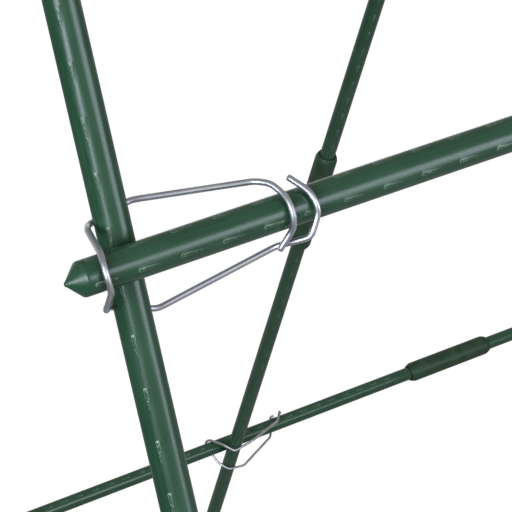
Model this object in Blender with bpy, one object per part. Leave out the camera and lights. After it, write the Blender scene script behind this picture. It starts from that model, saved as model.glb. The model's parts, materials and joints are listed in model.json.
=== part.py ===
"""A climbing plant stand: an A-frame of coated steel stakes, push-on sleeves and wire clips.

Metres, +Z up, +X along the rails. The stand is on z = 0, with its ridge above the origin.
Three pairs of legs cross just under a ridge rail, which lies in the V above the crossings.
Each face has an upper and a lower rail on the outside of its legs. A leg is two lengths of
stake and a rail three, joined by sleeves, and one bent wire clip holds each crossing.
"""

import math

import bmesh
import bpy
from mathutils import Matrix, Vector

# Stakes: a steel tube under a plastic coat, pointed at the free end
STAKE_DIAMETER = 0.011
STAKE_WALL = 0.0011
STAKE_SIDES = 12
POINT_HALF_ANGLE = math.radians(45)
POINT_SHOULDER_RADIUS = 0.002
POINT_SHOULDER_STEPS = 2
POINT_SOLID = 0.004  # left solid between the bore and the start of the cone

# Sleeves: a plastic tube with thinned ends and a stop rib inside
LEG_SLEEVE_LENGTH = 0.100
RAIL_SLEEVE_LENGTH = 0.084
SLEEVE_WALL = 0.0024
SLEEVE_LIP_WALL = 0.0009
SLEEVE_TAPER = 0.005
SLEEVE_STOP_LENGTH = 0.002
SLEEVE_STOP_HEIGHT = 0.0012
SLEEVE_CLEARANCE = 0.0003  # between a stake and the sleeve round it
BUTT_GAP = 0.0003  # between a stake's end and the stop rib

# The frame
TOUCH = 0.0003  # between two pieces that lie against each other
LEAN = math.radians(21.5)  # of each leg from upright
FRAME_SPACING = 0.651  # from one pair of legs to the next
LEG_ABOVE_CROSSING = 0.070
LEG_SLEEVE_DOWN = 1.484  # from the crossing down the leg to the middle of its sleeve
LEG_LOWER_LENGTH = 0.750  # from the middle of the sleeve to the point
FOOT_CUT = 0.0022  # how far above its point a leg's axis meets the ground
UPPER_RAIL_DOWN = 0.850  # from the crossing down the leg
LOWER_RAIL_DOWN = 1.800
RAIL_OVERHANG = 0.025  # of a front rail past its last leg, to the tip of its point
RAIL_MIDDLE_LENGTH = 0.472  # from the middle of one sleeve to the middle of the other

# Clips: one wire. The closed loop goes behind the leg and over the front of the rail, and
# two arms run along the rail to open hooks. Offsets are from the wire lying on a stake.
WIRE_DIAMETER = 0.002
WIRE_BEND_RADIUS = 0.0035
WIRE_BEND_STEP = math.radians(50)
HOOK_SLACK = 0.0004  # between a hook and the rail, over the touching gap
NEAR_HOOK_X = 0.0495  # from the leg's axis to the upper arm's hook
HOOK_PITCH = 0.0088  # from there on to the lower arm's hook
NEAR_TAIL = 0.0064  # the straight free end of the upper arm's hook
FAR_TAIL = 0.0056
NEAR_TAIL_TURN = math.radians(145)  # its direction, from up the leg towards straight in
FAR_TAIL_TURN = math.radians(50)
NEAR_TAIL_BACK = 0.0035  # how far it leans back to the leg
FAR_TAIL_BACK = 0.0022
FAR_HOOK_LEAN = 0.0015  # how far the lower arm's hook leans back before its free end
LOOP_SIDE = 0.0062  # beyond the wire's place beside the leg
LOOP_BOW = 0.0017  # how much further the loop's middle stands
LOOP_CORNER_SIDE = 0.0027
LOOP_TOP = 0.0044
LOOP_BOTTOM = 0.0066
LOOP_CORNER_BACK = 0.0090  # of the loop's corners behind the rail's axis
BACK_INSET = 0.0021  # of the wire's corner behind the leg, inside its place beside it
BACK_TOP = 0.0038
BACK_BOTTOM = 0.0078
UPPER_ARM_SIDE = 0.0040  # where the arms leave the leg
LOWER_ARM_SIDE = 0.0048
ARM_TOP = 0.0071
ARM_BOTTOM = 0.0134
ARM_END_TOP = 0.0038  # where the arms reach the rail
ARM_END_BOTTOM = 0.0036
ARM_END_BACK = 0.0037
NEAR_ARM_END_SHORT = 0.0042  # the upper arm stops this far short of its hook
NEAR_CORNER_SHORT = 0.0015
NEAR_CORNER_TOP = 0.0026
NEAR_CORNER_OUT = 0.0006
FAR_ARM_END_SHORT = 0.0105
FAR_CORNER_SHORT = 0.0032
FAR_CORNER_BOTTOM = 0.0024
FAR_CORNER_OUT = 0.0050

# Worked out from the sizes above
STAKE_RADIUS = STAKE_DIAMETER / 2
WIRE_RADIUS = WIRE_DIAMETER / 2
POINT_LENGTH = STAKE_RADIUS / math.tan(POINT_HALF_ANGLE)
SETBACK = SLEEVE_STOP_LENGTH / 2 + BUTT_GAP  # of a stake's end from its sleeve's middle
REACH = STAKE_DIAMETER + TOUCH  # between the axes of two stakes that touch
WRAP = STAKE_RADIUS + TOUCH + WIRE_RADIUS  # from a stake's axis to a wire lying on it
LEG_SIDE = REACH / 2  # of each leg from the middle of its pair
FOOT_DOWN = LEG_SLEEVE_DOWN + LEG_LOWER_LENGTH - FOOT_CUT
CROSSING_HEIGHT = FOOT_DOWN * math.cos(LEAN)
RIDGE_HEIGHT = CROSSING_HEIGHT + REACH / math.sin(LEAN)
RIDGE_DOWN = -REACH / math.tan(LEAN)  # where the ridge rail meets a leg
RAIL_HALF = FRAME_SPACING + LEG_SIDE + RAIL_OVERHANG
RAIL_END_LENGTH = RAIL_HALF - RAIL_MIDDLE_LENGTH / 2

ALONG = Vector((1, 0, 0))


class Face:
    """One sloping face: the direction up its legs, and the one straight out of it."""

    def __init__(self, name, side):
        self.name = name
        self.up = Vector((0, -side * math.sin(LEAN), math.cos(LEAN)))
        self.out = Vector((0, side * math.cos(LEAN), math.sin(LEAN)))

    def leg_point(self, x, down):
        """The point of a leg's axis this far down from the crossing."""
        return Vector((x, 0, CROSSING_HEIGHT)) - self.up * down


FRONT = Face("front", -1)
REAR = Face("rear", 1)


class Pair:
    """One pair of crossing legs: its place, which side its front leg is on, its hooks' way."""

    def __init__(self, name, x, front_side, hooks, ridge_face):
        self.name = name
        self.x = x
        self.front_side = front_side
        self.hooks = hooks
        self.ridge_face = ridge_face

    def leg_x(self, face):
        side = self.front_side if face is FRONT else -self.front_side
        return self.x + side * LEG_SIDE

    def ridge_hooks(self):
        """A ridge clip's arms pass behind the pair's other leg."""
        return -self.front_side if self.ridge_face is FRONT else self.front_side


PAIRS = (
    Pair("left", -FRAME_SPACING, -1, 1, FRONT),
    Pair("middle", 0, -1, 1, REAR),
    Pair("right", FRAME_SPACING, 1, -1, FRONT),
)


def clear_scene():
    for thing in list(bpy.data.objects):
        bpy.data.objects.remove(thing, do_unlink=True)


def material(name, color, roughness, metallic):
    made = bpy.data.materials.new(name)
    made.use_nodes = True
    shader = made.node_tree.nodes["Principled BSDF"]
    shader.inputs["Base Color"].default_value = (*color, 1)
    shader.inputs["Roughness"].default_value = roughness
    shader.inputs["Metallic"].default_value = metallic
    return made


def lathe(name, profile, closed, finish):
    """A solid turned about local Z from (radius, height) points."""
    shape = bmesh.new()
    points = [shape.verts.new((0, radius, height)) for radius, height in profile]
    pairs = list(zip(points, points[1:]))
    if closed:
        pairs.append((points[-1], points[0]))
    edges = [shape.edges.new(pair) for pair in pairs]
    bmesh.ops.spin(
        shape,
        geom=points + edges,
        cent=(0, 0, 0),
        axis=(0, 0, 1),
        angle=math.tau,
        steps=STAKE_SIDES,
        use_merge=True,
    )
    bmesh.ops.remove_doubles(shape, verts=shape.verts, dist=1e-6)
    bmesh.ops.recalc_face_normals(shape, faces=shape.faces)
    mesh = bpy.data.meshes.new(name)
    shape.to_mesh(mesh)
    shape.free()
    mesh.materials.append(finish)
    mesh.shade_smooth()
    mesh.set_sharp_from_angle(angle=math.radians(32))
    return mesh


def pointed_length(name, length, finish):
    """A stake from its open end at the local origin to its point at height length."""
    cone_start = length - POINT_LENGTH
    shoulder = cone_start - POINT_SHOULDER_RADIUS * math.tan(POINT_HALF_ANGLE / 2)
    bore = STAKE_RADIUS - STAKE_WALL
    profile = [(0, cone_start - POINT_SOLID), (bore, cone_start - POINT_SOLID), (bore, 0)]
    profile.append((STAKE_RADIUS, 0))
    for step in range(POINT_SHOULDER_STEPS + 1):
        turn = POINT_HALF_ANGLE * step / POINT_SHOULDER_STEPS
        radius = STAKE_RADIUS - POINT_SHOULDER_RADIUS * (1 - math.cos(turn))
        profile.append((radius, shoulder + POINT_SHOULDER_RADIUS * math.sin(turn)))
    profile.append((0, length))
    return lathe(name, profile, False, finish)


def plain_length(name, length, finish):
    """A stake open at both ends, from the local origin to height length."""
    bore = STAKE_RADIUS - STAKE_WALL
    profile = [(STAKE_RADIUS, 0), (STAKE_RADIUS, length), (bore, length), (bore, 0)]
    return lathe(name, profile, True, finish)


def cut_foot(mesh, length):
    """Cuts a leg's point off level with the ground, and closes the cut."""
    shape = bmesh.new()
    shape.from_mesh(mesh)
    ground = Vector((0, math.sin(LEAN), -math.cos(LEAN)))
    cut = bmesh.ops.bisect_plane(
        shape,
        geom=shape.verts[:] + shape.edges[:] + shape.faces[:],
        plane_co=(0, 0, length - FOOT_CUT),
        plane_no=-ground,
        clear_outer=True,
    )
    rim = [piece for piece in cut["geom_cut"] if isinstance(piece, bmesh.types.BMEdge)]
    bmesh.ops.contextual_create(shape, geom=rim)
    bmesh.ops.recalc_face_normals(shape, faces=shape.faces)
    shape.to_mesh(mesh)
    shape.free()
    mesh.shade_smooth()
    mesh.set_sharp_from_angle(angle=math.radians(32))


def sleeve(name, length, finish):
    """A sleeve about the local origin, along local Z."""
    bore = STAKE_RADIUS + SLEEVE_CLEARANCE
    outer = bore + SLEEVE_WALL
    lip = bore + SLEEVE_LIP_WALL
    stop = bore - SLEEVE_STOP_HEIGHT
    half = length / 2
    rib = SLEEVE_STOP_LENGTH / 2
    upper = [(stop, rib), (bore, rib), (bore, half), (lip, half), (outer, half - SLEEVE_TAPER)]
    lower = [(radius, -height) for radius, height in reversed(upper)]
    return lathe(name, upper + lower, True, finish)


def rounded(corners, radius):
    """The corners with each one between straight runs turned into an arc of this radius."""
    route = [corners[0]]
    for before, corner, after in zip(corners, corners[1:], corners[2:]):
        to_before = before - corner
        to_after = after - corner
        turn = math.pi - to_before.angle(to_after)
        steps = math.ceil(turn / WIRE_BEND_STEP)
        trim = radius * math.tan(turn / 2)
        trim = min(trim, to_before.length / 2, to_after.length / 2)
        start = corner + to_before.normalized() * trim
        end = corner + to_after.normalized() * trim
        for step in range(steps + 1):
            share = step / steps
            ease = share * (1 - share) * 2
            chord = start.lerp(end, share)
            route.append(chord.lerp(corner, ease))
    route.append(corners[-1])
    return route


def hook_arc(x, first, last, steps, bow=0, lean=0):
    """Points round the rail, at angles from straight out towards up the leg.

    The arc bows along the rail in its middle, and leans back along it towards its end.
    """
    radius = WRAP + HOOK_SLACK
    arc = []
    for step in range(steps + 1):
        share = step / steps
        angle = math.radians(first + (last - first) * share)
        shift = bow * math.sin(math.pi * share) - lean * share**2
        arc.append(Vector((x + shift, radius * math.sin(angle), radius * math.cos(angle))))
    return arc


def tail(arc_end, turn, length, back):
    """The straight free end of a hook, on from the end of its arc."""
    return arc_end + Vector((-back, length * math.cos(turn), -length * math.sin(turn)))


def clip_route():
    """The wire's middle line: x along the rail, y up the leg, z out of the face.

    The rail's axis is y = z = 0 and the leg's axis is x = 0, z = -REACH.
    """
    far_hook_x = NEAR_HOOK_X + HOOK_PITCH
    near = hook_arc(NEAR_HOOK_X, -48, 56, 4)
    far = hook_arc(far_hook_x, -22, 54, 3, lean=FAR_HOOK_LEAN)
    loop = hook_arc(-(WRAP + LOOP_SIDE), 66, -54, 4, bow=-LOOP_BOW)
    behind = -(REACH + WRAP)
    beside = WRAP + LOOP_CORNER_SIDE
    corner_behind = -(WRAP - BACK_INSET)
    upper = [
        near[-1],
        Vector((NEAR_HOOK_X - NEAR_CORNER_SHORT, WRAP + NEAR_CORNER_TOP, NEAR_CORNER_OUT)),
        Vector((NEAR_HOOK_X - NEAR_ARM_END_SHORT, WRAP + ARM_END_TOP, -ARM_END_BACK)),
        Vector((WRAP + UPPER_ARM_SIDE, WRAP + ARM_TOP, behind)),
        Vector((corner_behind, WRAP + BACK_TOP, behind)),
        Vector((-beside, WRAP + LOOP_TOP, -LOOP_CORNER_BACK)),
        loop[0],
    ]
    lower = [
        loop[-1],
        Vector((-beside, -(WRAP + LOOP_BOTTOM), -LOOP_CORNER_BACK)),
        Vector((corner_behind, -(WRAP + BACK_BOTTOM), behind)),
        Vector((WRAP + LOWER_ARM_SIDE, -(WRAP + ARM_BOTTOM), behind)),
        Vector((far_hook_x - FAR_ARM_END_SHORT, -(WRAP + ARM_END_BOTTOM), -ARM_END_BACK)),
        Vector((far_hook_x - FAR_CORNER_SHORT, -(WRAP + FAR_CORNER_BOTTOM), FAR_CORNER_OUT)),
        far[0],
    ]
    route = [tail(near[0], NEAR_TAIL_TURN, NEAR_TAIL, NEAR_TAIL_BACK)]
    route += near[:-1] + rounded(upper, WIRE_BEND_RADIUS)
    route += loop[1:-1] + rounded(lower, WIRE_BEND_RADIUS)
    route += far[1:]
    route.append(tail(far[-1], FAR_TAIL_TURN, FAR_TAIL, FAR_TAIL_BACK))
    return route


def wire(name, route, finish):
    """A bent round wire with flat ends, as a curve with a bevel."""
    curve = bpy.data.curves.new(name, "CURVE")
    curve.dimensions = "3D"
    curve.bevel_depth = WIRE_RADIUS
    curve.bevel_resolution = 1
    curve.use_fill_caps = True
    spline = curve.splines.new("POLY")
    spline.points.add(len(route) - 1)
    for point, place in zip(spline.points, route):
        point.co = (*place, 1)
    spline.use_smooth = True
    curve.materials.append(finish)
    return curve


def group(name, place, parent=None):
    """An empty that carries the pieces of one moving body."""
    empty = bpy.data.objects.new(name, None)
    bpy.context.scene.collection.objects.link(empty)
    empty.location = place
    if parent:
        empty.parent = parent
        empty.location = place - parent.matrix_world.translation
    bpy.context.view_layer.update()
    return empty


def place(name, data, origin, x_way, z_way, parent):
    """Adds a piece at origin, with its local X and Z turned these ways, under a group."""
    piece = bpy.data.objects.new(name, data)
    bpy.context.scene.collection.objects.link(piece)
    turned = Matrix((x_way, z_way.cross(x_way), z_way)).transposed().to_4x4()
    piece.parent = parent
    piece.matrix_parent_inverse = parent.matrix_world.inverted()
    piece.matrix_world = Matrix.Translation(origin) @ turned
    return piece


def build_leg(pair, face, shapes, parent):
    """One leg: an upper and a lower length, and the sleeve that joins them."""
    name = f"{face.name}_leg_{pair.name}"
    middle = face.leg_point(pair.leg_x(face), LEG_SLEEVE_DOWN)
    up_side = face.out.cross(face.up)
    down_side = face.out.cross(-face.up)
    place(f"{name}_sleeve", shapes["leg_sleeve"], middle, up_side, face.up, parent)
    top = middle + face.up * SETBACK
    place(f"{name}_upper", shapes["leg_upper"], top, up_side, face.up, parent)
    bottom = middle - face.up * SETBACK
    place(f"{name}_lower", shapes["leg_lower"], bottom, down_side, -face.up, parent)


def build_rail(name, middle, out, shapes, parent):
    """One rail along X: two pointed lengths, a plain one and two sleeves."""
    half = RAIL_MIDDLE_LENGTH / 2
    start = middle - ALONG * (half - SETBACK)
    place(f"{name}_centre", shapes["rail_centre"], start, out.cross(ALONG), ALONG, parent)
    for label, way in (("left", -ALONG), ("right", ALONG)):
        joint = middle + way * half
        side = out.cross(way)
        place(f"{name}_sleeve_{label}", shapes["rail_sleeve"], joint, side, way, parent)
        end = joint + way * SETBACK
        place(f"{name}_end_{label}", shapes["rail_end"], end, side, way, parent)


def place_clip(name, pair, face, down, hooks, shapes, parent):
    """A clip over one leg, on a rail this far down it, with its hooks the given way along X."""
    x_way = ALONG * hooks
    crossing = face.leg_point(pair.leg_x(face), down) + face.out * REACH
    place(name, shapes["clip"], crossing, x_way, face.out, parent)


def build_ridge(frames, shapes):
    """The ridge rail and its clips. A clip belongs to the face whose leg it holds."""
    middle = Vector((0, 0, RIDGE_HEIGHT))
    build_rail("ridge_rail", middle, Vector((0, 0, 1)), shapes, frames[FRONT])
    for pair in PAIRS:
        face = pair.ridge_face
        name = f"ridge_clip_{pair.name}"
        place_clip(name, pair, face, RIDGE_DOWN, pair.ridge_hooks(), shapes, frames[face])


def build_face(face, frame, shapes):
    """A face's legs, and its two rails with their clips."""
    for pair in PAIRS:
        build_leg(pair, face, shapes, frame)
    for level, down in (("upper", UPPER_RAIL_DOWN), ("lower", LOWER_RAIL_DOWN)):
        middle = face.leg_point(0, down) + face.out * REACH
        slide = group(f"{face.name}_{level}_rail_slide", middle, frame)
        build_rail(f"{face.name}_{level}_rail", middle, face.out, shapes, slide)
        for pair in PAIRS:
            name = f"{face.name}_{level}_clip_{pair.name}"
            place_clip(name, pair, face, down, pair.hooks, shapes, slide)


def build():
    clear_scene()
    coat = material("green_coat", (0.028, 0.105, 0.055), 0.38, 0.0)
    plastic = material("sleeve_green", (0.035, 0.120, 0.045), 0.45, 0.0)
    zinc = material("zinc_wire", (0.62, 0.63, 0.65), 0.32, 1.0)
    lower_length = LEG_LOWER_LENGTH - SETBACK
    upper_length = LEG_SLEEVE_DOWN + LEG_ABOVE_CROSSING - SETBACK
    shapes = {
        "leg_upper": pointed_length("leg_upper", upper_length, coat),
        "leg_lower": pointed_length("leg_lower", lower_length, coat),
        "rail_end": pointed_length("rail_end", RAIL_END_LENGTH - SETBACK, coat),
        "rail_centre": plain_length("rail_centre", RAIL_MIDDLE_LENGTH - 2 * SETBACK, coat),
        "leg_sleeve": sleeve("leg_sleeve", LEG_SLEEVE_LENGTH, plastic),
        "rail_sleeve": sleeve("rail_sleeve", RAIL_SLEEVE_LENGTH, plastic),
        "clip": wire("clip", clip_route(), zinc),
    }
    cut_foot(shapes["leg_lower"], lower_length)
    hinge = Vector((0, 0, RIDGE_HEIGHT))
    frames = {FRONT: group("front_frame", hinge), REAR: group("rear_frame_hinge", hinge)}
    for face in (FRONT, REAR):
        build_face(face, frames[face], shapes)
    build_ridge(frames, shapes)


build()
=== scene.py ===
"""Climbing plant stand: its finished surfaces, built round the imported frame.

The stand is an A-frame of coated steel stakes. Plastic sleeves join the stakes end to end,
and a clip bent from one wire holds each crossing. Metres, +Z up, +X along the rails.
"""

import json
import logging
import math
from collections.abc import Iterator
from dataclasses import dataclass, field
from enum import Enum
from itertools import accumulate, count
from typing import ClassVar

import bpy
import numpy as np
from mathutils import Matrix, Quaternion, Vector

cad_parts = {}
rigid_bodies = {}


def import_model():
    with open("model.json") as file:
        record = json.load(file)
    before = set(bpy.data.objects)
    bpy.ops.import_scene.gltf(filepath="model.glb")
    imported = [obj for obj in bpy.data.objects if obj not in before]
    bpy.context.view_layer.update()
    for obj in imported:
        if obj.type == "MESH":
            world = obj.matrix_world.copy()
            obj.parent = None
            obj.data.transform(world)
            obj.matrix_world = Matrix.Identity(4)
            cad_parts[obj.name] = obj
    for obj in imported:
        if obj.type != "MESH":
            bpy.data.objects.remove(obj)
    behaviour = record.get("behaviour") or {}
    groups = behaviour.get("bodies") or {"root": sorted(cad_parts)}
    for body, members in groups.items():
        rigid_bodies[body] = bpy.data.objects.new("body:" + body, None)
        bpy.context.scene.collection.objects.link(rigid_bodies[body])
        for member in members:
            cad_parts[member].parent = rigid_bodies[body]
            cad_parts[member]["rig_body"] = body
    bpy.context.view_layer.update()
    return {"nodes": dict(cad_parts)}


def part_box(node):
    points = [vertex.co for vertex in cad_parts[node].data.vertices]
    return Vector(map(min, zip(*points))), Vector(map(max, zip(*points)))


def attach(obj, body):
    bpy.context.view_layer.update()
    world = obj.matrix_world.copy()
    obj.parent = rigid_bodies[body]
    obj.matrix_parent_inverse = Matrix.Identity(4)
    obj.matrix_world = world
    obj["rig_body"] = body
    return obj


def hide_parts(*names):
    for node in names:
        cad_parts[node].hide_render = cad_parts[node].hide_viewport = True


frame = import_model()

LOG = logging.getLogger("plant_stand")

Array = np.ndarray
Socket = bpy.types.NodeSocket
Pair = tuple[float, float]
Span = tuple[float, float, float, float]
Colour = tuple[float, float, float]
Direction = tuple[float, float, float]
Value = Socket | float | tuple[float, ...]
Settings = dict | None

ALONG = np.array((1.0, 0.0, 0.0))
UPWARD = np.array((0.0, 0.0, 1.0))
LEAN = math.radians(21.5)  # of each leg from upright
GOLDEN_SHARE = 0.381966  # of a turn or a pitch, which keeps any two stakes' dashes apart
GOLDEN_TURN = math.tau * GOLDEN_SHARE
END_DEPTH = 1e-5  # corners this near a stake's end belong to it
STEP_DEPTH = 1e-7  # heights this near a dash's head are at it
OFF_DASH = (9.0, -9.0, 0.0)  # what a point on no dash stores
OFF_WIRE = np.array((0.3, 0.5, 0.8))  # a direction that no wire starts in
WHITE = (1.0, 1.0, 1.0)


class Slot(Enum):
    """The record's material slots."""

    COAT = "green_coat"
    SLEEVE = "sleeve_green"
    WIRE = "zinc_wire"


class Side(Enum):
    """Where a leg stands along the rails."""

    LEFT = "left"
    MIDDLE = "middle"
    RIGHT = "right"


class Level(Enum):
    """Which rail of a face."""

    UPPER = "upper"
    LOWER = "lower"


class Face(Enum):
    """One sloping face of the stand, with the sign of its Y direction."""

    FRONT = -1
    REAR = 1

    @property
    def label(self) -> str:
        """The word that the face's nodes start with."""
        return self.name.lower()

    @property
    def up(self) -> Array:
        """The unit direction up the face's legs."""
        return np.array((0.0, -self.value * math.sin(LEAN), math.cos(LEAN)))

    @property
    def out(self) -> Array:
        """The unit direction straight out of the face."""
        return np.array((0.0, self.value * math.cos(LEAN), math.sin(LEAN)))


@dataclass(frozen=True)
class StakeSizes:
    """Sizes of a coated stake. The dashes are nibs pressed up from the coat in four rows.

    A dash's cap, its rounded end and its rings are shares of its length. Its sides and
    columns are in half widths. The tail is the share of its width that is left at its far
    end, and the fall the share of its height that is lost there.
    """

    radius: float = 0.0055
    wall: float = 0.0011
    rim: float = 0.00025
    point_angle: float = math.radians(45)
    shoulder: float = 0.0012
    shoulder_steps: int = 6
    point_solid: float = 0.0040
    nose_radius: float = 0.00085
    nose_height: float = 0.00062
    nose_steps: tuple[Pair, ...] = ((1.0, 1.0), (0.86, 0.53), (0.5, 0.28))
    ring_count: int = 5
    ring_depth: float = 0.00006
    dash_rows: int = 4
    dash_length: float = 0.0074
    dash_height: float = 0.00020
    dash_half_width: float = 0.00075
    dash_cap: float = 0.09
    dash_tail: float = 0.40
    dash_fall: float = 0.6
    dash_end: float = 0.25
    dash_side: float = 0.6
    dash_columns: tuple[float, ...] = (-1.0, -0.66, -0.33, 0.0, 0.33, 0.66, 1.0)
    gap_columns: int = 6
    body_rings: tuple[float, ...] = (1.0, 0.78, 0.45, 0.18)
    cap_rings: tuple[float, ...] = (0.03, 0.0, -0.001)
    row_strengths: tuple[float, ...] = (1.0, 0.45, 0.85, 0.45)
    least_strength: float = 0.7
    foot_cut: float = 0.0022
    plain_end: float = 0.0008
    crease: float = math.radians(50)


@dataclass(frozen=True)
class SleeveSizes:
    """Sizes of a push-on sleeve."""

    clearance: float = 0.0003
    wall: float = 0.0024
    lip_wall: float = 0.0009
    lip_round: float = 0.0003
    taper: float = 0.0050
    taper_steps: int = 9
    stop_length: float = 0.002
    stop_height: float = 0.0012
    parting_height: float = 0.00009
    parting_half_width: float = 0.0004
    parting_columns: int = 5
    columns: int = 64
    crease: float = math.radians(40)


@dataclass(frozen=True)
class ClipSizes:
    """Sizes of a wire clip. Offsets are from the wire lying on a stake.

    An arc is where a hook or the loop starts and ends round the rail, in degrees from
    straight out towards up the leg.
    """

    wire_radius: float = 0.001
    touch: float = 0.0003
    hook_slack: float = 0.0004
    near_hook: float = 0.0495
    hook_pitch: float = 0.0088
    near_arc: Pair = (-48, 56)
    far_arc: Pair = (-22, 54)
    loop_arc: Pair = (66, -54)
    arc_points: int = 25
    near_tail: float = 0.0064
    far_tail: float = 0.0056
    near_tail_turn: float = math.radians(145)
    far_tail_turn: float = math.radians(50)
    near_tail_back: float = 0.0035
    far_tail_back: float = 0.0022
    far_hook_lean: float = 0.0015
    loop_side: float = 0.0062
    loop_bow: float = 0.0017
    loop_corner_side: float = 0.0027
    loop_top: float = 0.0044
    loop_bottom: float = 0.0066
    loop_corner_back: float = 0.0090
    back_inset: float = 0.0021
    back_top: float = 0.0038
    back_bottom: float = 0.0078
    upper_arm_side: float = 0.0040
    lower_arm_side: float = 0.0048
    arm_top: float = 0.0071
    arm_bottom: float = 0.0134
    arm_end_top: float = 0.0038
    arm_end_bottom: float = 0.0036
    arm_end_back: float = 0.0037
    near_arm_short: float = 0.0042
    near_corner_short: float = 0.0015
    near_corner_top: float = 0.0026
    near_corner_out: float = 0.0006
    far_arm_short: float = 0.0105
    far_corner_short: float = 0.0032
    far_corner_bottom: float = 0.0024
    far_corner_out: float = 0.0050
    bend: float = 0.0030
    step: float = 0.0008
    fine_steps: int = 4
    sides: int = 14
    end_round: float = 0.00025
    crease: float = math.radians(50)


STAKE = StakeSizes()
SLEEVE = SleeveSizes()
CLIP = ClipSizes()


def unit(vector: Array) -> Array:
    """The vector at length one."""
    return vector / np.linalg.norm(vector)


def ease(share: Array) -> Array:
    """The smooth step 3s^2 - 2s^3 of a share, clipped to 0 and 1."""
    share = np.clip(share, 0.0, 1.0)
    return share * share * (3.0 - 2.0 * share)


def put(name: str, data: bpy.types.ID) -> bpy.types.Object:
    """Puts a new object in the scene.

    Args:
        name: The object's name.
        data: Its mesh, lamp or camera.

    Returns:
        The object.
    """
    made = bpy.data.objects.new(name, data)
    bpy.context.scene.collection.objects.link(made)
    return made


def node_points(node: str) -> Array:
    """The corners of a frame node, in the stand's own frame.

    Args:
        node: The node's name.

    Returns:
        One row of three coordinates for each corner.
    """
    mesh = frame["nodes"][node].data
    points = np.empty(len(mesh.vertices) * 3)
    mesh.vertices.foreach_get("co", points)
    return points.reshape(-1, 3)


def node_centre(node: str) -> Array:
    """The middle of a frame node's box."""
    low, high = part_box(node)
    return np.array((low + high) / 2)


def crossing_of(rail: str, face: Face, side: Side) -> Array:
    """The point on a rail's axis over one of a face's legs."""
    _, y, z = node_centre(f"{rail}_centre")
    return np.array((node_centre(f"{face.label}_leg_{side.value}_upper")[0], y, z))


def open_end(node: str, axis: Array) -> tuple[Array, float]:
    """Finds the square-cut end of a stake and how far the stake runs from it.

    Args:
        node: The stake's node.
        axis: The unit direction from the open end to the other end.

    Returns:
        The middle of the open end, and the stake's length along the axis.
    """
    points = node_points(node)
    heights = points @ axis
    ring = points[heights < heights.min() + END_DEPTH]
    return ring.mean(axis=0), float(heights.max() - heights.min())


@dataclass
class Skin:
    """A closed surface on a grid of rings, each ring with the same number of columns.

    Attributes:
        rings: Points, as an array of rows by columns by three.
        poles: The two points that close the first and last ring, or None where the last
            ring joins the first.
        marks: Named vectors for each ring point, which the finishes read.
    """

    rings: Array
    poles: tuple[Array, Array] | None = None
    marks: dict[str, Array] = field(default_factory=dict)

    def faces(self) -> tuple[Array, Array]:
        """The quads between the rings, and the triangles round the poles.

        Returns:
            The numbers of their corners.
        """
        rows, columns = self.rings.shape[:2]
        index = np.arange(rows * columns).reshape(rows, columns)
        if self.poles is None:
            index = np.vstack((index, index[:1]))
        lower, upper = index[:-1], index[1:]
        corners = (lower, np.roll(lower, -1, 1), np.roll(upper, -1, 1), upper)
        quads = np.stack(corners, -1).reshape(-1, 4)
        if self.poles is None:
            return quads, np.empty((0, 3), int)
        first, last = index[0], index[-1]
        pole = np.full(columns, rows * columns)
        bottom = np.stack((np.roll(first, -1), first, pole), -1)
        top = np.stack((last, np.roll(last, -1), pole + 1), -1)
        return quads, np.concatenate((bottom, top))

    def points(self) -> Array:
        """Every point, the two poles last."""
        flat = self.rings.reshape(-1, 3)
        return flat if self.poles is None else np.vstack((flat, *self.poles))

    def mesh(self, name: str, crease: float) -> bpy.types.Mesh:
        """Builds the mesh with its faces outwards.

        The signed volume is the sum over triangles of the triple product of the corners,
        and where it is negative every face is turned round. The marks are stored on the
        points, and a pole takes the mean of the nearest ring's.

        Args:
            name: The mesh's name.
            crease: The angle in radians past which an edge is shaded sharp.

        Returns:
            The finished mesh.
        """
        points = self.points()
        quads, triangles = self.faces()
        halves = np.concatenate((quads[:, :3], quads[:, [0, 2, 3]], triangles))
        a, b, c = (points[halves[:, corner]] for corner in range(3))
        if np.einsum("ij,ij->i", a, np.cross(b, c)).sum() < 0:
            quads, triangles = quads[:, ::-1], triangles[:, ::-1]
        loops = np.concatenate((quads.ravel(), triangles.ravel())).astype(np.int32)
        corners = np.repeat((4, 3), (len(quads), len(triangles)))
        starts = (np.cumsum(corners) - corners).astype(np.int32)
        mesh = bpy.data.meshes.new(name)
        mesh.vertices.add(len(points))
        mesh.vertices.foreach_set("co", points.astype(np.float32).ravel())
        mesh.loops.add(len(loops))
        mesh.loops.foreach_set("vertex_index", loops)
        mesh.polygons.add(len(starts))
        mesh.polygons.foreach_set("loop_start", starts)
        mesh.update(calc_edges=True)
        for mark, values in self.marks.items():
            flat = values.reshape(-1, 3)
            if self.poles is not None:
                flat = np.vstack((flat, values[0].mean(axis=0), values[-1].mean(axis=0)))
            stored = mesh.attributes.new(mark, "FLOAT_VECTOR", "POINT")
            stored.data.foreach_set("vector", flat.astype(np.float32).ravel())
        mesh.shade_smooth()
        mesh.set_sharp_from_angle(angle=crease)
        return mesh


@dataclass(frozen=True)
class Axes:
    """A straight axis in space: its start, its direction and where its angle 0 points."""

    start: Array
    axis: Array
    across: Array

    def place(self, radius: Array, angle: Array, height: Array) -> Array:
        """Points at a radius, an angle and a height: start + h*axis + r*(cos, sin) across.

        Args:
            radius: Distance from the axis, rows by columns.
            angle: Angle about the axis, one for each column.
            height: Distance along the axis, one for each row.

        Returns:
            Points as rows by columns by three.
        """
        side = np.cross(self.axis, self.across)
        outward = np.cos(angle)[:, None] * self.across + np.sin(angle)[:, None] * side
        return self.start + radius[..., None] * outward + height[:, None, None] * self.axis


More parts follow.
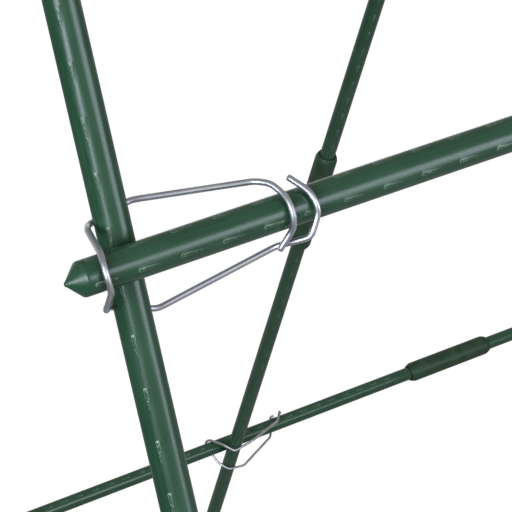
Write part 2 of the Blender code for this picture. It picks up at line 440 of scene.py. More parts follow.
@dataclass(frozen=True)
class DashPattern:
    """Where a stake's dashes lie: the pitch from head to head, the angle of the first row
    and the distance from the stake's far end to the nearest head.

    The seed is the stake's number, which its random draws start from.
    """

    pitch: float
    row: float
    head: float
    seed: int = 0

    def shifted(self, seed: int) -> "DashPattern":
        """The pattern of another stake, moved by a golden share for each number."""
        head = self.head + seed * self.pitch * GOLDEN_SHARE
        return DashPattern(self.pitch, self.row + seed * GOLDEN_TURN, head, seed)


LEG_DASHES = DashPattern(0.0165, math.radians(-44), 0.0184)
RAIL_DASHES = DashPattern(0.014475, math.radians(-20.2), 0.0072)


@dataclass
class Stake:
    """One length of coated stake, along an axis from its open end, with angle 0 across.

    A pointed stake's far end is a cone, and a foot's cone is cut level at the ground.
    """

    kind: ClassVar[str] = "tube"
    slot: ClassVar[Slot] = Slot.COAT

    node: str
    axis: Array
    across: Array
    dashes: DashPattern
    pointed: bool = True
    foot: bool = False
    sizes: StakeSizes = STAKE

    def length(self) -> float:
        """From the open end to the tip, before any cut at the ground."""
        start, length = open_end(self.node, self.axis)
        return float(start[2] / -self.axis[2] + self.sizes.foot_cut) if self.foot else length

    def columns(self) -> Array:
        """Angles round the stake, close together on the rows of dashes and wide between.

        Returns:
            One angle for each column.
        """
        s = self.sizes
        near = np.array(s.dash_columns) * s.dash_half_width / s.radius
        turn = math.tau / s.dash_rows
        between = np.linspace(near[-1], turn + near[0], s.gap_columns + 2)[1:-1]
        starts = self.dashes.row + np.arange(s.dash_rows) * turn
        return (starts[:, None] + np.concatenate((near, between))).ravel()

    def relief(self, angles: Array, heights: Array, heads: Array) -> tuple[Array, Array]:
        """How far the dashes stand off the tube, and where each point lies on its dash.

        Along the stake a dash rises by a smooth step over its cap, falls evenly and ends
        in a smooth step. Across it is flat on top with sides that are a smooth step, and
        its width shrinks evenly from the head to the tail.

        Args:
            angles: The angle of each column.
            heights: The height of each ring.
            heads: The heights of the dashes' heads.

        Returns:
            The relief as rings by columns, and for each point the share of the half width
            that it lies off the row, the share of the length that it lies below the head
            and the strength of the dash.
        """
        s = self.sizes
        turn = math.tau / s.dash_rows
        row, offset = np.divmod(angles - self.dashes.row + turn / 2, turn)
        across = np.abs(offset - turn / 2) * s.radius / s.dash_half_width
        which = np.clip(np.searchsorted(heads, heights - STEP_DEPTH), 0, len(heads) - 1)
        along = (heads[which] - heights) / s.dash_length
        share = np.clip(along, 0, 1)
        rise = ease(along / s.dash_cap) * (1 - s.dash_fall * share) * ease((1 - along) / s.dash_end)
        width = 1 - (1 - s.dash_tail) * share
        bump = ease((1 - across / width[:, None]) / s.dash_side)
        random = np.random.default_rng(self.dashes.seed)
        drawn = random.uniform(s.least_strength, 1.0, (len(heads), s.dash_rows))
        strong = (drawn * s.row_strengths)[which][:, row.astype(int) % s.dash_rows]
        shape = strong.shape
        spot = (np.broadcast_to(across, shape), np.broadcast_to(along[:, None], shape), strong)
        return rise[:, None] * bump * strong * s.dash_height, np.stack(spot, -1)

    def body_heights(self, low: float, high: float) -> tuple[Array, Array]:
        """Heights on the straight body, where whole dashes stand at their pitch.

        Args:
            low: Where the straight body starts.
            high: Where it ends.

        Returns:
            The heights of the rings, and of the dashes' heads.
        """
        s = self.sizes
        first = self.length() - self.dashes.head
        heads = first - np.arange(int(first / self.dashes.pitch)) * self.dashes.pitch
        room = (heads < high - s.plain_end) & (heads > low + s.plain_end + s.dash_length)
        heads = heads[room][::-1]
        shares = np.array((*s.body_rings, s.dash_cap, *s.cap_rings))
        rings = (heads[:, None] - shares * s.dash_length).ravel()
        return np.concatenate(((low,), rings, (high,))), heads

    def point_profile(self, length: float) -> list[Pair]:
        """The outline of the cone as (radius, height), from the shoulder to the nose.

        The shoulder is an arc that is tangent to the body. The cone is a straight line
        with a few shallow turned rings, and its nose is rounded.

        Args:
            length: The stake's length from the open end to the tip.

        Returns:
            The outline's points after the body, without the pole.
        """
        s = self.sizes
        start = length - s.radius / math.tan(s.point_angle)
        start -= s.shoulder * math.tan(s.point_angle / 2)
        outline = [
            (s.radius - s.shoulder * (1 - math.cos(turn)), start + s.shoulder * math.sin(turn))
            for turn in np.linspace(0, s.point_angle, s.shoulder_steps + 1)[1:]
        ]
        low_radius, low_height = outline[-1]
        top = length - s.nose_height
        steps = s.ring_count * 2 + 1
        for step in range(1, steps):
            share = step / steps
            radius = low_radius + (s.nose_radius - low_radius) * share
            groove = s.ring_depth if step % 2 else 0.0
            outline.append((radius - groove, low_height + (top - low_height) * share))
        for radius_share, depth_share in s.nose_steps:
            outline.append((s.nose_radius * radius_share, length - s.nose_height * depth_share))
        return outline

    def ends(self, length: float) -> tuple[list[Pair], list[Pair], float]:
        """The outline before and after the straight body, as (radius, height).

        Args:
            length: The stake's length.

        Returns:
            Both outlines, and the height at which the straight body ends.
        """
        s = self.sizes
        bore = s.radius - s.wall
        rim = [(bore, s.rim), (bore + s.rim, 0.0), (s.radius - s.rim, 0.0)]
        if not self.pointed:
            far_rim = [(radius, length - height) for radius, height in reversed(rim)]
            return rim, far_rim, length - s.rim
        cone = self.point_profile(length)
        bore_end = length - s.radius / math.tan(s.point_angle) - s.point_solid
        top = cone[0][1] - s.shoulder * math.sin(s.point_angle / s.shoulder_steps)
        return [(bore, bore_end), *rim], cone, top

    def skin(self) -> Skin:
        """The whole surface: bore, rim, body with dashes, and cone or second rim.

        The stake's number is added to the places along it, so that no two stakes have the
        same grain.

        Returns:
            The surface, marked with each point's place along and round the stake and its
            place on its dash.
        """
        s = self.sizes
        start, _ = open_end(self.node, self.axis)
        length = self.length()
        before, after, top = self.ends(length)
        heights, heads = self.body_heights(s.rim, top)
        angles = self.columns()
        relief, spot = self.relief(angles, heights, heads)
        profile = np.array([*before, *[(s.radius, height) for height in heights], *after])
        lift = np.zeros((len(profile), len(angles)))
        dash = np.tile(OFF_DASH, (*lift.shape, 1))
        body = slice(len(before), len(before) + len(heights))
        inside = (heights > heights[0]) & (heights < heights[-1])
        lift[body] = relief * inside[:, None]
        dash[body][inside] = spot[inside]
        radius = profile[:, :1] + lift
        rings = Axes(start, self.axis, self.across).place(radius, angles, profile[:, 1])
        along = np.broadcast_to(profile[:, 1:], radius.shape) + self.dashes.seed
        local = np.stack((radius * np.cos(angles), radius * np.sin(angles), along), -1)
        poles = None
        if self.pointed:
            poles = (start + self.axis * before[0][1], start + self.axis * length)
        if self.foot:
            rings, poles = self.level(rings), (poles[0], self.level(poles[1]))
        return Skin(rings, poles, {"stake": local, "dash": dash})

    def level(self, points: Array) -> Array:
        """Slides what is under the ground up along the stake until it lies on z = 0."""
        return points - self.axis * (np.minimum(points[..., 2:], 0.0) / self.axis[2])


@dataclass
class Sleeve:
    """One push-on sleeve along an axis, with its first parting line across."""

    kind: ClassVar[str] = "shell"
    slot: ClassVar[Slot] = Slot.SLEEVE

    node: str
    axis: Array
    across: Array
    sizes: SleeveSizes = SLEEVE
    stake: StakeSizes = STAKE

    def half_profile(self, half: float) -> list[Pair]:
        """The section above the middle as (radius, height), from the stop rib outwards.

        The taper is a quarter of a sine wave from the lip to the full wall.

        Args:
            half: Half of the sleeve's length.

        Returns:
            The section's points, the bore first and the outer side last.
        """
        s = self.sizes
        bore = self.stake.radius + s.clearance
        lip = bore + s.lip_wall
        outer = bore + s.wall
        rib = s.stop_length / 2
        outline = [(bore - s.stop_height, rib), (bore, rib), (bore, half - s.lip_round)]
        outline += [(bore + s.lip_round, half), (lip - s.lip_round, half)]
        for step in range(s.taper_steps + 1):
            share = step / s.taper_steps
            radius = lip + (outer - lip) * math.sin(share * math.pi / 2)
            outline.append((radius, half - s.lip_round - (s.taper - s.lip_round) * share))
        return outline

    def skin(self) -> Skin:
        """The surface, with a low parting line on two opposite sides.

        Its columns are evenly spaced but for a few close together on each parting line.

        Returns:
            The closed surface of the sleeve.
        """
        s = self.sizes
        heights = node_points(self.node) @ self.axis
        upper = self.half_profile(float(heights.max() - heights.min()) / 2)
        profile = np.array(upper + [(radius, -height) for radius, height in reversed(upper)])
        near = np.linspace(-1, 1, s.parting_columns)
        near = near * s.parting_half_width / (self.stake.radius + s.wall)
        plain = s.columns // 2 - s.parting_columns
        between = np.linspace(near[-1], math.pi + near[0], plain + 2)[1:-1]
        angles = np.concatenate((near, between, near + math.pi, between + math.pi))
        ridge = np.zeros(len(angles))
        ridge[s.parting_columns // 2 :: len(angles) // 2] = s.parting_height
        outside = profile[:, 0] > self.stake.radius + s.clearance + s.lip_wall
        radius = profile[:, :1] + ridge * outside[:, None]
        axes = Axes(node_centre(self.node), self.axis, self.across)
        return Skin(axes.place(radius, angles, profile[:, 1]))


@dataclass
class Clip:
    """One wire clip, held by the stakes that cross in it.

    The crossing is the point on the rail's axis over the leg. The hooks lie along the
    rail, and out is straight out of the face.
    """

    kind: ClassVar[str] = "wire"
    slot: ClassVar[Slot] = Slot.WIRE

    node: str
    crossing: Array
    along: Array
    out: Array
    sizes: ClipSizes = CLIP
    stake: StakeSizes = STAKE

    def wrap(self) -> float:
        """From a stake's axis to the middle of a wire that lies on it."""
        return self.stake.radius + self.sizes.touch + self.sizes.wire_radius

    def hook(self, x: float, arc: Pair, bow: float = 0.0, lean: float = 0.0) -> Array:
        """A part of the wire that goes round the rail: a circle arc between two angles.

        Along the rail its place is x + bow * sin(pi * share) - lean * share^2.

        Args:
            x: Its place along the rail.
            arc: The angles where it starts and ends.
            bow: How far its middle stands along the rail.
            lean: How far it has leant back along the rail by its end.

        Returns:
            Points every few degrees.
        """
        share = np.linspace(0, 1, self.sizes.arc_points)
        angles = np.radians(arc[0] + (arc[1] - arc[0]) * share)
        radius = self.wrap() + self.sizes.hook_slack
        place = x + bow * np.sin(math.pi * share) - lean * share**2
        return np.stack((place, radius * np.sin(angles), radius * np.cos(angles)), -1)

    def tail(self, end: Array, turn: float, length: float, back: float) -> Array:
        """The free end of a hook, turned from up the leg to straight in, and leaning back."""
        return end + np.array((-back, length * math.cos(turn), -length * math.sin(turn)))

    def key_points(self) -> Array:
        """The wire's corners: x along the rail, y up the leg, z out of the face.

        Returns:
            The corners and the hooks' points in the order of the wire.
        """
        s = self.sizes
        wrap = self.wrap()
        far_hook = s.near_hook + s.hook_pitch
        near = self.hook(s.near_hook, s.near_arc)
        far = self.hook(far_hook, s.far_arc, lean=s.far_hook_lean)
        loop = self.hook(-(wrap + s.loop_side), s.loop_arc, bow=-s.loop_bow)
        behind = -(2 * self.stake.radius + s.touch + wrap)
        corner = -(wrap + s.loop_corner_side)
        inset = -(wrap - s.back_inset)
        upper = (
            (s.near_hook - s.near_corner_short, wrap + s.near_corner_top, s.near_corner_out),
            (s.near_hook - s.near_arm_short, wrap + s.arm_end_top, -s.arm_end_back),
            (wrap + s.upper_arm_side, wrap + s.arm_top, behind),
            (inset, wrap + s.back_top, behind),
            (corner, wrap + s.loop_top, -s.loop_corner_back),
        )
        lower = (
            (corner, -(wrap + s.loop_bottom), -s.loop_corner_back),
            (inset, -(wrap + s.back_bottom), behind),
            (wrap + s.lower_arm_side, -(wrap + s.arm_bottom), behind),
            (far_hook - s.far_arm_short, -(wrap + s.arm_end_bottom), -s.arm_end_back),
            (far_hook - s.far_corner_short, -(wrap + s.far_corner_bottom), s.far_corner_out),
        )
        first = self.tail(near[0], s.near_tail_turn, s.near_tail, s.near_tail_back)
        last = self.tail(far[-1], s.far_tail_turn, s.far_tail, s.far_tail_back)
        return np.vstack((first, near, upper, loop, lower, far, last))

    def route(self) -> Array:
        """The wire's middle line, bent as a tool leaves it.

        The straight runs between the corners are sampled at even steps, and each point is
        the mean of its neighbours under a raised cosine window as wide as a bend.

        Returns:
            Points along the wire in the clip's own directions.
        """
        s = self.sizes
        corners = self.key_points()
        runs = np.linalg.norm(np.diff(corners, axis=0), axis=1)
        at = np.concatenate(((0.0,), np.cumsum(runs)))
        fine = s.step / s.fine_steps
        reach = int(s.bend / fine)
        stations = np.linspace(0, at[-1], int(at[-1] / fine) + 1)
        line = np.stack([np.interp(stations, at, corners[:, i]) for i in range(3)], -1)
        before = 2 * line[0] - line[reach:0:-1]
        after = 2 * line[-1] - line[-2 : -reach - 2 : -1]
        window = np.hanning(2 * reach + 3)[1:-1]
        window /= window.sum()
        padded = np.vstack((before, line, after))
        smooth = [np.convolve(padded[:, i], window, mode="valid") for i in range(3)]
        return np.stack(smooth, -1)[:: s.fine_steps]

    def skin(self) -> Skin:
        """The surface: a circle carried along the route, its ends slightly rounded.

        The circle's first direction is carried from station to station by taking away its
        part along the new tangent, so that the skin doesn't twist.

        Returns:
            The closed surface of the wire.
        """
        s = self.sizes
        up = np.cross(self.out, self.along)
        path = self.crossing + self.route() @ np.array((self.along, up, self.out))
        tangents = np.gradient(path, axis=0)
        tangents /= np.linalg.norm(tangents, axis=1)[:, None]
        seed = unit(np.cross(tangents[0], OFF_WIRE))
        carried = accumulate(tangents, lambda n, t: unit(n - t * (n @ t)), initial=seed)
        normals = np.array(list(carried)[1:])
        sides = np.cross(tangents, normals)
        start = path[:1] - tangents[:1] * s.end_round
        end = path[-1:] + tangents[-1:] * s.end_round
        path = np.vstack((start, path, end))
        normals, sides = (np.vstack((rows[:1], rows, rows[-1:])) for rows in (normals, sides))
        radius = np.full(len(path), s.wire_radius)
        radius[[0, -1]] -= s.end_round
        angles = np.linspace(0, math.tau, s.sides, endpoint=False)[:, None]
        circle = np.cos(angles) * normals[:, None] + np.sin(angles) * sides[:, None]
        return Skin(path[:, None] + circle * radius[:, None, None], (path[0], path[-1]))


@dataclass(frozen=True)
class Grain:
    """Smooth noise: how fine it is, how much finer detail it has and its scale by axis."""

    scale: float
    detail: float = 2.0
    stretch: Direction = (1.0, 1.0, 1.0)


class Nodes:
    """A node tree, with short calls for the nodes that the finishes and the studio use."""

    COLOUR_INPUTS: ClassVar[tuple[int, ...]] = (6, 7)
    COLOUR_OUTPUT: ClassVar[int] = 2

    def __init__(self, tree: bpy.types.NodeTree) -> None:
        """Takes the tree that the nodes go into."""
        self.tree = tree

    def add(self, kind: str, settings: Settings = None, inputs: Settings = None) -> bpy.types.Node:
        """Adds a node.

        Args:
            kind: The node's type, without the words that each starts with.
            settings: Properties to set on it.
            inputs: Socket names or numbers, each with a value or a socket to link.

        Returns:
            The new node.
        """
        node = self.tree.nodes.new(f"ShaderNode{kind}")
        for name, value in (settings or {}).items():
            setattr(node, name, value)
        for name, value in (inputs or {}).items():
            self.feed(node.inputs[name], value)
        return node

    def feed(self, socket: Socket, value: Value) -> None:
        """Links a socket to another one, or sets its value.

        Args:
            socket: The socket.
            value: The other socket, or the plain value.
        """
        if isinstance(value, Socket):
            self.tree.links.new(value, socket)
        else:
            socket.default_value = (*value, 1.0) if socket.type == "RGBA" else value

    def attribute(self, name: str) -> Socket:
        """A vector stored on the mesh."""
        return self.add("Attribute", {"attribute_name": name}).outputs["Vector"]

    def coordinates(self) -> Socket:
        """The stand's own coordinates, in metres."""
        return self.add("TexCoord").outputs["Object"]

    def split(self, vector: Socket) -> tuple[Socket, ...]:
        """A vector's three parts."""
        return tuple(self.add("SeparateXYZ", None, {"Vector": vector}).outputs)

    def stretched(self, vector: Socket, scale: Direction) -> Socket:
        """The coordinates scaled by a factor for each axis."""
        return self.add("Mapping", None, {"Vector": vector, "Scale": scale}).outputs[0]

    def noise(self, place: Socket, grain: Grain) -> Socket:
        """Smooth noise from 0 to 1.

        Args:
            place: The coordinates that it is read at.
            grain: How fine it is.

        Returns:
            The noise.
        """
        place = self.stretched(place, grain.stretch)
        inputs = {"Vector": place, "Scale": grain.scale, "Detail": grain.detail}
        return self.add("TexNoise", None, inputs).outputs["Fac"]

    def ranged(self, value: Socket, span: Pair | Span) -> Socket:
        """A smooth step over a span, from 0 to 1 where the span doesn't say otherwise."""
        inputs = zip(("Value", "From Min", "From Max", "To Min", "To Max"), (value, *span))
        return self.add("MapRange", {"interpolation_type": "SMOOTHSTEP"}, dict(inputs)).outputs[0]

    def maths(self, operation: str, first: Value, second: Value = 0.0) -> Socket:
        """One arithmetic step on one or two values."""
        return self.add("Math", {"operation": operation}, {0: first, 1: second}).outputs[0]

    def plus(self, first: Value, second: Value) -> Socket:
        """The sum of two values."""
        return self.maths("ADD", first, second)

    def minus(self, first: Value, second: Value) -> Socket:
        """The first value less the second."""
        return self.maths("SUBTRACT", first, second)

    def times(self, first: Value, second: Value) -> Socket:
        """The product of two values."""
        return self.maths("MULTIPLY", first, second)

    def larger(self, first: Value, second: Value) -> Socket:
        """The larger of two values."""
        return self.maths("MAXIMUM", first, second)

    def mix(self, share: Socket, *colours: Value) -> Socket:
        """Two colours mixed by a share, each a plain colour or a socket."""
        inputs = {"Factor": share, **dict(zip(self.COLOUR_INPUTS, colours))}
        return self.add("Mix", {"data_type": "RGBA"}, inputs).outputs[self.COLOUR_OUTPUT]

    def blend(self, share: Socket, first: Value, second: Value) -> Socket:
        """Two numbers mixed by a share."""
        inputs = {"Factor": share, "A": first, "B": second}
        return self.add("Mix", None, inputs).outputs["Result"]

    def bump(self, height: Socket, size: Pair, *under: Socket) -> Socket:
        """A bump of this depth in metres and strength, on top of an earlier one."""
        inputs = zip(("Height", "Distance", "Strength", "Normal"), (height, *size, *under))
        return self.add("Bump", None, dict(inputs)).outputs["Normal"]

    def seen(self) -> tuple[Socket, Socket]:
        """Whether a ray is the camera's own or went through glass, and whether it is gloss."""
        rays = self.add("LightPath").outputs
        return self.larger(rays["Is Camera Ray"], rays["Is Transmission Ray"]), rays["Is Glossy Ray"]


class Surface(Nodes):
    """A material's node tree, with its Principled shader."""

    def __init__(self, name: str) -> None:
        """Starts a material with only the shader and its output.

        Args:
            name: The material's name.
        """
        self.material = bpy.data.materials.new(name)
        self.material.use_nodes = True
        super().__init__(self.material.node_tree)
        self.shader = self.tree.nodes["Principled BSDF"]

    def finish(self, sockets: dict[str, Value]) -> bpy.types.Material:
        """Feeds the shader's sockets.

        Args:
            sockets: The sockets' names, each with its value or the socket to link.

        Returns:
            The material.
        """
        for name, value in sockets.items():
            self.feed(self.shader.inputs[name], value)
        return self.material


@dataclass(frozen=True)
class CoatFinish:
    """Semi-gloss green plastic on the stakes, whitened on the dashes.

    The coat goes from deep to worn, and from gloss to dull. A dash is pale on a rim inside
    its edge and in specks on its top, and a faint pale line links the dashes of a row; that
    line is partly the mould line and partly a painted highlight, the sheen its ridge would
    catch at the silhouettes. Each of the three has a span of places and one of grit, which go
    from plain to pale. A bump is its depth in metres and its strength.
    """

    name: str = "coat_plastic"
    deep: Colour = (0.0185, 0.069, 0.0345)
    worn: Colour = (0.0265, 0.090, 0.0455)
    pale: Colour = (0.27, 0.40, 0.29)
    worn_span: Pair = (0.36, 0.64)
    gloss_span: Span = (0.3, 0.7, 0.24, 0.30)
    cone_gloss: float = 0.34
    cone_span: Pair = (0.0053, 0.0050)
    ior: float = 1.54
    streaks: Grain = Grain(1.0, 3.0, (1400.0, 1400.0, 40.0))
    blotches: Grain = Grain(60.0, 3.0)
    grit: Grain = Grain(1.0, 2.0, (2600.0, 2600.0, 1500.0))
    peel: Grain = Grain(1500.0)
    turned: Grain = Grain(5200.0, 1.0)
    streak_bump: Pair = (0.00004, 0.35)
    peel_bump: Pair = (0.00003, 0.30)
    turned_bump: Pair = (0.00008, 0.60)
    dash_bump: Pair = (0.00012, 1.0)
    rim_place: float = 0.80
    rim_span: Pair = (0.28, 0.05)
    rim_fading: Span = (0.0, 0.9, 1.0, 0.4)
    rim_grit: Pair = (0.15, 0.50)
    top_span: Pair = (1.02, 0.75)
    top_grit: Pair = (0.54, 0.66)
    # span and grit of the faint pale line between the dashes: partly the mould line, partly a
    # painted highlight at the silhouettes
    link_span: Pair = (0.26, 0.10)
    link_grit: Span = (0.35, 0.60, 0.0, 0.07)
    least_width: float = 0.1
    tail_start: float = 0.94
    tail_growth: float = 14.0
    sizes: StakeSizes = STAKE

    def marks(self, n: Surface, place: Socket) -> tuple[Socket, Socket]:
        """Scuffs the dashes, each out to where a distance from its middle is 1.

        The distance is the root of the sum of three squares: the share across, over the
        width that narrows to the tail, the share along the round cap, and how far the point is
        past the tail, which grows fast. The faint pale line along each row is partly the mould
        line and partly a painted highlight, the sheen its ridge would catch at the silhouettes.

        Args:
            n: The material's nodes.
            place: The coordinates that the grit is read at.

        Returns:
            How pale each point is, and how far it is raised.
        """
        across, along, strength = n.split(n.attribute("dash"))
        grit = n.noise(place, self.grit)
        width = n.minus(1.0, n.times(along, 1 - self.sizes.dash_tail))
        side = n.maths("DIVIDE", across, n.larger(width, self.least_width))
        cap = n.maths("DIVIDE", n.minus(self.sizes.dash_cap, along), self.sizes.dash_cap)
        cap = n.larger(cap, 0.0)
        past = n.times(n.larger(n.minus(along, self.tail_start), 0.0), self.tail_growth)
        side, cap, past = (n.times(value, value) for value in (side, cap, past))
        edge = n.maths("SQRT", n.plus(n.plus(side, cap), past))
        off_rim = n.maths("ABSOLUTE", n.minus(edge, self.rim_place))
        rim = n.times(n.ranged(off_rim, self.rim_span), n.ranged(along, self.rim_fading))
        rim = n.times(rim, n.ranged(grit, self.rim_grit))
        top = n.ranged(edge, self.top_span)
        specks = n.times(top, n.ranged(grit, self.top_grit))
        # painted highlight: the faint pale line along the row stands partly for the mould line and
        # partly for the sheen its ridge catches at the silhouettes
        link = n.times(n.ranged(across, self.link_span), n.ranged(grit, self.link_grit))
        return n.larger(n.times(n.larger(rim, specks), strength), link), n.times(top, strength)

    def material(self) -> bpy.types.Material:
        """Makes the coat: drawn streaks, orange peel, turned cones and scuffed dashes, and a pale
        line between the dashes that is partly a painted highlight.

        Returns:
            The finished material.
        """
        n = Surface(self.name)
        place = n.attribute("stake")
        streak = n.noise(place, self.streaks)
        shade = n.times(n.plus(streak, n.noise(place, self.blotches)), 0.5)
        pale, raised = self.marks(n, place)
        base = n.mix(n.ranged(shade, self.worn_span), self.deep, self.worn)
        flat = n.stretched(place, (1.0, 1.0, 0.0))
        radius = n.add("VectorMath", {"operation": "LENGTH"}, {0: flat}).outputs["Value"]
        outward = n.add("CombineXYZ", None, {"X": radius}).outputs[0]
        on_cone = n.ranged(radius, self.cone_span)
        turned = n.times(n.noise(outward, self.turned), on_cone)
        normal = n.bump(streak, self.streak_bump)
        normal = n.bump(n.noise(place, self.peel), self.peel_bump, normal)
        normal = n.bump(turned, self.turned_bump, normal)
        sockets = {
            # the pale marks include the painted highlight of the line between the dashes
            "Base Color": n.mix(pale, base, self.pale),
            "Roughness": n.blend(on_cone, n.ranged(shade, self.gloss_span), self.cone_gloss),
            "Normal": n.bump(raised, self.dash_bump, normal),
            "IOR": self.ior,
        }
        return n.finish(sockets)


@dataclass(frozen=True)
class SleeveFinish:
    """Satin moulded plastic, a little yellower than the coat."""

    name: str = "sleeve_plastic"
    deep: Colour = (0.015, 0.046, 0.019)
    light: Colour = (0.026, 0.071, 0.030)
    clouds: Grain = Grain(90.0, 3.0)
    grain: Grain = Grain(2200.0)
    colour_span: Pair = (0.35, 0.65)
    rough_span: Span = (0.3, 0.7, 0.38, 0.52)
    grain_bump: Pair = (0.00004, 0.35)
    cloud_bump: Pair = (0.0003, 0.15)

    def material(self) -> bpy.types.Material:
        """Makes the plastic: cloudy colour, fine grain and a soft gloss.

        Returns:
            The finished material.
        """
        n = Surface(self.name)
        place = n.coordinates()
        cloud = n.noise(place, self.clouds)
        colour = n.mix(n.ranged(cloud, self.colour_span), self.deep, self.light)
        normal = n.bump(n.noise(place, self.grain), self.grain_bump)
        normal = n.bump(cloud, self.cloud_bump, normal)
        roughness = n.ranged(cloud, self.rough_span)
        return n.finish({"Base Color": colour, "Roughness": roughness, "Normal": normal})


@dataclass(frozen=True)
class ZincFinish:
    """Bright zinc-plated wire with a dull bloom."""

    name: str = "zinc_plate"
    bright: Colour = (0.74, 0.74, 0.77)
    dull: Colour = (0.56, 0.56, 0.61)
    patches: Grain = Grain(90.0, 1.0)
    colour_span: Pair = (0.38, 0.66)
    rough_span: Span = (0.3, 0.7, 0.34, 0.46)

    def material(self) -> bpy.types.Material:
        """Makes the zinc, patchy in its brightness and roughness.

        Returns:
            The finished material.
        """
        n = Surface(self.name)
        patch = n.noise(n.coordinates(), self.patches)
        colour = n.mix(n.ranged(patch, self.colour_span), self.bright, self.dull)
        roughness = n.ranged(patch, self.rough_span)
        return n.finish({"Base Color": colour, "Roughness": roughness, "Metallic": 1.0})


@dataclass
class Workshop:
    """Puts finished surfaces in the scene, each on its body and over its frame node.

    It counts the lengths of leg and of rail, whose numbers set their dashes.
    """

    materials: dict[Slot, bpy.types.Material]
    leg_numbers: Iterator[int] = field(default_factory=count)
    rail_numbers: Iterator[int] = field(default_factory=count)
    made: int = 0

    def add(self, part: Stake | Sleeve | Clip) -> None:
        """Adds one piece.

        Args:
            part: The stake, sleeve or clip that gives the surface.
        """
        name = f"{part.node}_{part.kind}"
        mesh = part.skin().mesh(name, part.sizes.crease)
        mesh.materials.append(self.materials[part.slot])
        piece = put(name, mesh)
        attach(piece, frame["nodes"][part.node]["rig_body"])
        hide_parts(part.node)
        self.made += 1
        LOG.info("%s: %d faces", name, len(mesh.polygons))


@dataclass
class Leg:
    """One leg: an upper and a lower length, and the sleeve that joins them."""

    face: Face
    side: Side

    def build(self, shop: Workshop) -> None:
        """Builds the leg's three pieces.

        Args:
            shop: The workshop that puts them in the scene.
        """
        name = f"{self.face.label}_leg_{self.side.value}"
        up, out = self.face.up, self.face.out
        for part, axis, foot in (("upper", up, False), ("lower", -up, True)):
            dashes = LEG_DASHES.shifted(next(shop.leg_numbers))
            shop.add(Stake(f"{name}_{part}", axis, out, dashes, foot=foot))
        shop.add(Sleeve(f"{name}_sleeve", up, ALONG))


@dataclass
class Rail:
    """One rail along X: two pointed lengths, a plain middle one, two sleeves and its clips.

    Each leg that has a clip comes with its face and the sign of the way the hooks lie.
    """

    prefix: str
    out: Array
    legs: tuple[tuple[Side, Face, int], ...]

    def build(self, shop: Workshop) -> None:
        """Builds the rail's five pieces, and a clip over each leg.

        Args:
            shop: The workshop that puts them in the scene.
        """
        name = f"{self.prefix}_rail"
        lengths = (("end_left", -ALONG, True), ("centre", ALONG, False), ("end_right", ALONG, True))
        for part, axis, pointed in lengths:
            dashes = RAIL_DASHES.shifted(next(shop.rail_numbers))
            shop.add(Stake(f"{name}_{part}", axis, self.out, dashes, pointed=pointed))
        for part in ("sleeve_left", "sleeve_right"):
            shop.add(Sleeve(f"{name}_{part}", ALONG, self.out))
        for side, face, hooks in self.legs:
            node = f"{self.prefix}_clip_{side.value}"
            shop.add(Clip(node, crossing_of(name, face, side), ALONG * hooks, face.out))


@dataclass
class Stand:
    """The whole stand: two faces of three legs and two rails each, and a ridge rail.

    The hooks' ways on a face's rails are for the sides in order.
    """

    hooks: tuple[int, ...] = (1, 1, -1)
    ridge: tuple[tuple[Side, Face, int], ...] = (
        (Side.LEFT, Face.FRONT, 1),
        (Side.MIDDLE, Face.REAR, -1),
        (Side.RIGHT, Face.FRONT, -1),
    )

    def build(self, shop: Workshop) -> None:
        """Builds every piece.

        Args:
            shop: The workshop that puts them in the scene.
        """
        for face in Face:
            for side in Side:
                Leg(face, side).build(shop)
            legs = tuple((side, face, hooks) for side, hooks in zip(Side, self.hooks))
            for level in Level:
                Rail(f"{face.label}_{level.value}", face.out, legs).build(shop)
        Rail("ridge", UPWARD, self.ridge).build(shop)


@dataclass(frozen=True)
class Softbox:
    """A large soft lamp that faces the stand, turned by its lean about its own middle."""

    name: str
    towards: Direction
    distance: float
    width: float
    height: float
    power: float
    lean: float = 0.0
    colour: Colour = (0.79, 0.88, 1.0)

    def build(self, target: Array) -> None:
        """Puts the lamp at its distance from a point, facing that point.

        Args:
            target: The point that the lamp faces.
        """
        lamp = bpy.data.lights.new(self.name, "AREA")
        lamp.shape = "RECTANGLE"
        lamp.size = self.width
        lamp.size_y = self.height
        lamp.energy = self.power
        lamp.color = self.colour
        direction = Vector(self.towards).normalized()
        holder = put(self.name, lamp)
        holder.location = Vector(target) + direction * self.distance
        turn = direction.to_track_quat("Z", "Y") @ Quaternion((0.0, 0.0, 1.0), self.lean)
        holder.rotation_euler = turn.to_euler()


@dataclass(frozen=True)
class Glow:
    """A soft bright region of the studio's walls, as gloss sees it.

    Its span goes from one angle off its middle to a smaller one, both as cosines, and
    from nothing to its strength.
    """

    towards: Direction
    span: Span


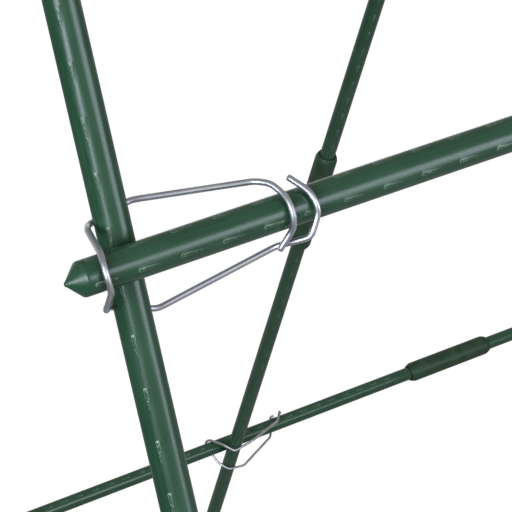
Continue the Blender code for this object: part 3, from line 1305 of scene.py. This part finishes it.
@dataclass(frozen=True)
class Studio:
    """A pale floor and white surroundings, with two softboxes.

    The floor's own colour gets the shadows. In gloss the floor brightens along X near the
    stand, and turns white along Y far behind it. The ambient light is that of the walls
    and of the ceiling, the backdrop is what the camera sees, and the room is the least
    that gloss sees. One glow is in front of the stand, and the camera faces the other.
    """

    floor_size: float = 60.0
    floor_colour: Colour = (0.10, 0.10, 0.10)
    floor_roughness: float = 0.9
    floor_glow: float = 0.97
    near_floor: Span = (-2.0, -0.2, 0.01, 0.26)
    far_floor: Pair = (2.2, 4.5)
    ambient: Pair = (0.14, 0.54)
    backdrop: float = 1.0
    room: float = 0.28
    glows: tuple[Glow, ...] = (
        Glow((-0.15, -0.95, 0.25), (0.45, 0.87, 0.0, 0.26)),
        Glow((0.474, 0.719, -0.509), (0.78, 0.95, 0.0, 0.72)),
    )
    lamps: tuple[Softbox, ...] = (
        Softbox("right_softbox", (0.573, -0.788, 0.208), 3.2, 1.15, 2.20, 38.0, math.radians(38)),
        Softbox("left_softbox", (-0.834, -0.482, 0.267), 3.2, 2.20, 1.20, 96.0),
    )

    def build(self, target: Array) -> None:
        """Builds the floor, the surroundings and the lamps.

        Args:
            target: The point that the lamps face.
        """
        self.build_floor()
        self.build_world()
        for lamp in self.lamps:
            lamp.build(target)

    def build_floor(self) -> None:
        """A pale floor that glows where it is looked at, and keeps its shadows."""
        half = self.floor_size / 2
        corners = [(-half, -half, 0), (half, -half, 0), (half, half, 0), (-half, half, 0)]
        mesh = bpy.data.meshes.new("floor")
        mesh.from_pydata(corners, [], [(0, 1, 2, 3)])
        n = Surface("pale_floor")
        x, y, _ = n.split(n.coordinates())
        in_gloss = n.larger(n.ranged(x, self.near_floor), n.ranged(y, self.far_floor))
        plain, gloss = n.seen()
        glow = n.plus(n.times(plain, self.floor_glow), n.times(gloss, in_gloss))
        sockets = {
            "Base Color": self.floor_colour,
            "Roughness": self.floor_roughness,
            "Specular IOR Level": 0.0,
            "Emission Color": WHITE,
            "Emission Strength": glow,
        }
        mesh.materials.append(n.finish(sockets))
        put("floor", mesh)

    def build_world(self) -> None:
        """Even light on surfaces, a white backdrop, and the studio's walls in gloss."""
        world = bpy.data.worlds.new("studio")
        world.use_nodes = True
        n = Nodes(world.node_tree)
        place = n.add("TexCoord").outputs["Generated"]
        walls = self.room
        for glow in self.glows:
            facing = n.add("VectorMath", {"operation": "DOT_PRODUCT"}, {0: place, 1: glow.towards})
            walls = n.plus(n.ranged(facing.outputs["Value"], glow.span), walls)
        plain, gloss = n.seen()
        light = n.blend(gloss, n.blend(n.split(place)[2], *self.ambient), walls)
        background = n.tree.nodes["Background"]
        n.feed(background.inputs["Strength"], n.blend(plain, light, self.backdrop))
        n.feed(background.inputs["Color"], WHITE)
        bpy.context.scene.world = world


@dataclass(frozen=True)
class PhotoCamera:
    """The camera at the photograph's angle, placed from the near crossing."""

    azimuth: float = math.radians(56.6173)
    down: float = math.radians(30.5786)
    roll: float = math.radians(-0.5161)
    lens: float = 192.74
    sensor: float = 36.0
    nearest: float = 0.05
    farthest: float = 100.0
    offset: Direction = (-0.34743, -0.58899, 0.40452)

    def build(self, crossing: Array) -> None:
        """Makes the camera: rolled, raised from straight down and turned to its azimuth.

        Args:
            crossing: The point that the offset starts from.
        """
        roll = Matrix.Rotation(self.roll, 4, "Z")
        raised = Matrix.Rotation(math.pi / 2 - self.down, 4, "X") @ roll
        turned = Matrix.Rotation(self.azimuth - math.pi / 2, 4, "Z") @ raised
        data = bpy.data.cameras.new("photo_camera")
        data.lens = self.lens
        data.sensor_width = self.sensor
        data.clip_start = self.nearest
        data.clip_end = self.farthest
        camera = put("photo_camera", data)
        camera.matrix_world = Matrix.Translation(Vector(crossing) + Vector(self.offset)) @ turned
        bpy.context.scene.camera = camera


def main() -> None:
    """Builds the stand, the studio and the camera."""
    logging.basicConfig(level=logging.INFO, format="%(message)s")
    materials = {
        Slot.COAT: CoatFinish().material(),
        Slot.SLEEVE: SleeveFinish().material(),
        Slot.WIRE: ZincFinish().material(),
    }
    shop = Workshop(materials)
    Stand().build(shop)
    near_crossing = crossing_of("front_upper_rail", Face.FRONT, Side.LEFT)
    Studio().build(near_crossing)
    PhotoCamera().build(near_crossing)
    bpy.context.scene.view_settings.view_transform = "Standard"
    LOG.info("%d pieces", shop.made)


if __name__ == "__main__":
    main()
